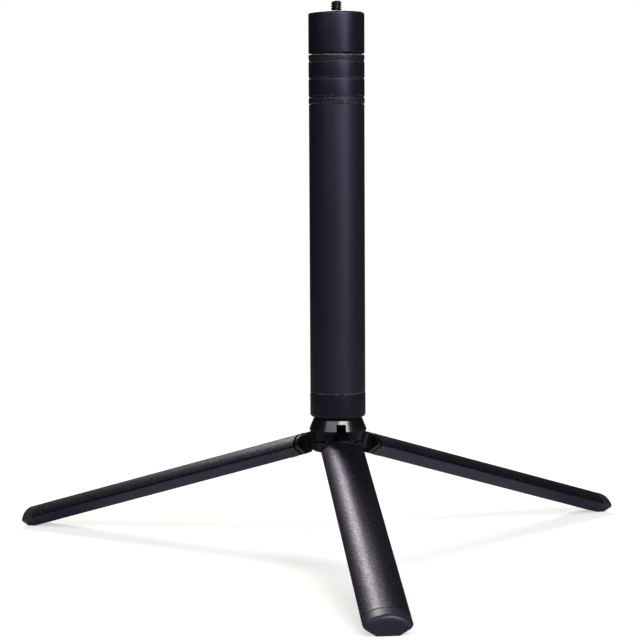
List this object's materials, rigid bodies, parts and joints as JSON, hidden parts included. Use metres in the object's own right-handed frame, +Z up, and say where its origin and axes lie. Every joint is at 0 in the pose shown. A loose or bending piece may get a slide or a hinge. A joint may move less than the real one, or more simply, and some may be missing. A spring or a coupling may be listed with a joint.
{
  "type": "folding table tripod with telescoping pole",
  "caption": "Compact stand whose splayed legs fold down into a round handle, with a telescoping pole, a twist collar and a threaded stud on top.",
  "frame": {"origin": "on the standing plane, under the centre of the bounding box; the pole's axis is at x = 0, y = +0.0478 m", "axes": "+Z up along the pole, -Y along the front leg, +X to the right"},
  "size_m": [0.3736, 0.3256, 0.3162],
  "materials": {
    "gloss_black": "gloss moulded",
    "hub_gloss": "gloss moulded, satin belt",
    "satin_black": "satin moulded",
    "soft_black": "fine matt",
    "satin_anodised": "satin black anodised",
    "tube_anodised": "matt black anodised",
    "textured_alu": "blasted and black anodised",
    "foot_plastic": "matt moulded",
    "black_steel": "black oxide",
    "bright_steel": "ground",
    "stage_steel": "polished stainless",
    "insert_brass": "turned",
    "rubber_black": "matt",
    "acetal_grey": "moulded"
  },
  "bodies": {
    "stand": {"hub_body": "hub_gloss", "hub_yoke": "satin_black", "yoke_screw_1": "black_steel", "yoke_screw_2": "black_steel", "yoke_screw_3": "black_steel", "hub_stud": "bright_steel", "base_washer": "rubber_black", "base_cap": "satin_anodised", "base_insert": "insert_brass", "outer_tube": "tube_anodised", "lock_collet": "acetal_grey", "hinge_pin_front": "bright_steel", "hinge_pin_right": "bright_steel", "hinge_pin_left": "bright_steel"},
    "collar": {"lock_collar": "satin_anodised"},
    "stage_2": {"tube_2": "stage_steel", "slide_bush_2": "acetal_grey", "guide_ring_2": "acetal_grey"},
    "stage_3": {"tube_3": "stage_steel", "slide_bush_3": "acetal_grey", "guide_ring_3": "acetal_grey"},
    "stage_4": {"tube_4": "stage_steel", "slide_bush_4": "acetal_grey", "head_core": "acetal_grey", "head_cap": "soft_black", "head_stud": "black_steel"},
    "front_leg": {"knuckle_front": "gloss_black", "leg_front": "textured_alu", "foot_cap_front": "foot_plastic", "leg_screw_front": "black_steel"},
    "right_leg": {"knuckle_right": "gloss_black", "leg_right": "textured_alu", "foot_cap_right": "foot_plastic", "leg_screw_right": "black_steel"},
    "left_leg": {"knuckle_left": "gloss_black", "leg_left": "textured_alu", "foot_cap_left": "foot_plastic", "leg_screw_left": "black_steel"}
  },
  "joints": [
    {"name": "leg_front_fold", "type": "hinge", "parent": "stand", "child": "front_leg", "pos_m": [0, 0.03733, 0.06444], "axis": [1, 0, 0], "range_deg": [0, 73.24]},
    {"name": "leg_right_fold", "type": "hinge", "parent": "stand", "child": "right_leg", "pos_m": [0.00909, 0.05308, 0.06444], "axis": [-0.5, 0.866, 0], "range_deg": [0, 73.24]},
    {"name": "leg_left_fold", "type": "hinge", "parent": "stand", "child": "left_leg", "pos_m": [-0.00909, 0.05308, 0.06444], "axis": [-0.5, -0.866, 0], "range_deg": [0, 73.24]},
    {"name": "collar_twist", "type": "hinge", "parent": "stand", "child": "collar", "pos_m": [0, 0.04783, 0.272], "axis": [0, 0, 1], "range_deg": [0, 60]},
    {"name": "stage_2_slide", "type": "slide", "parent": "stand", "child": "stage_2", "axis": [0, 0, 1], "range_m": [0, 0.1185]},
    {"name": "stage_3_slide", "type": "slide", "parent": "stage_2", "child": "stage_3", "axis": [0, 0, 1], "range_m": [0, 0.158]},
    {"name": "stage_4_slide", "type": "slide", "parent": "stage_3", "child": "stage_4", "axis": [0, 0, 1], "range_m": [0, 0.158]}
  ]
}
